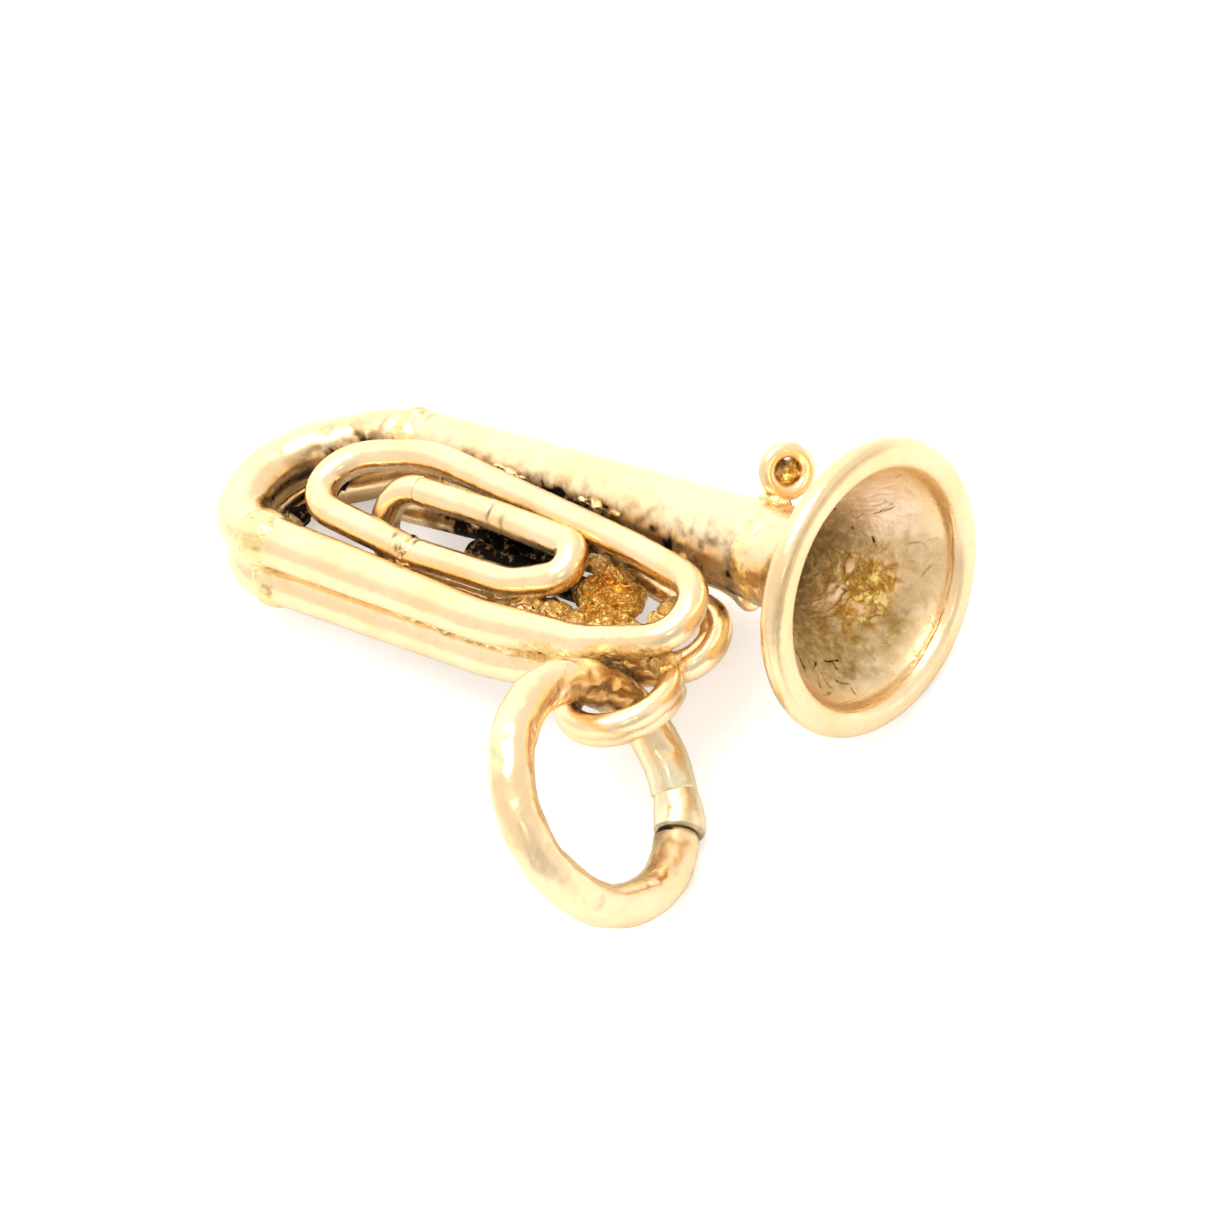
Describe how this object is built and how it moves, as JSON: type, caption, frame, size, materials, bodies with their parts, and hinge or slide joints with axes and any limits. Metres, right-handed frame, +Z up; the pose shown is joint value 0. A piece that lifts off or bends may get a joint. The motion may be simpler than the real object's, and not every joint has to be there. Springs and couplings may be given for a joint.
{
  "type": "french horn charm",
  "caption": "Gold charm of a small coiled horn, with a flared bell, cord ring, soldered bail and a loose swinging jump ring.",
  "frame": {"origin": "centre of the bounding box, on the table the charm lies on", "axes": "+Z up from the table; +X along the horn, towards the bell; +Y towards the back, where the bell stem and cord ring are; the jump ring is at the front, -Y"},
  "size_m": [0.0164, 0.0124, 0.0065],
  "materials": {
    "yellow_gold": "polished yellow gold, worn",
    "pale_solder": "paler gold solder, rough"
  },
  "bodies": {
    "horn": {"bell": "yellow_gold", "bell_rim_wire": "yellow_gold", "bell_seam_solder": "pale_solder", "bell_stem": "yellow_gold", "back_seam_solder": "pale_solder", "left_bow": "yellow_gold", "front_seam_solder": "pale_solder", "upper_coil": "yellow_gold", "inner_seam_solder": "pale_solder", "inner_coil": "yellow_gold", "crossover_bend": "yellow_gold", "lower_inner_coil": "yellow_gold", "lower_coil": "yellow_gold", "lower_left_bow": "yellow_gold", "lower_seam_solder": "pale_solder", "lead_pipe": "yellow_gold", "mouthpiece": "yellow_gold", "coil_tack_solder": "pale_solder", "cord_ring": "yellow_gold", "cord_ring_solder": "pale_solder", "bail_ring_upper": "yellow_gold", "bail_ring_lower": "yellow_gold", "bail_solder": "pale_solder"},
    "jump_ring": {"jump_ring": "yellow_gold", "jump_ring_solder": "pale_solder"}
  },
  "joints": [
    {"name": "ring_swing", "type": "hinge", "parent": "horn", "child": "jump_ring", "pos_m": [0.00385, -0.00258, 0.0029], "axis": [0.807, -0.5684, 0.1604], "range_deg": [-70, 5]}
  ]
}
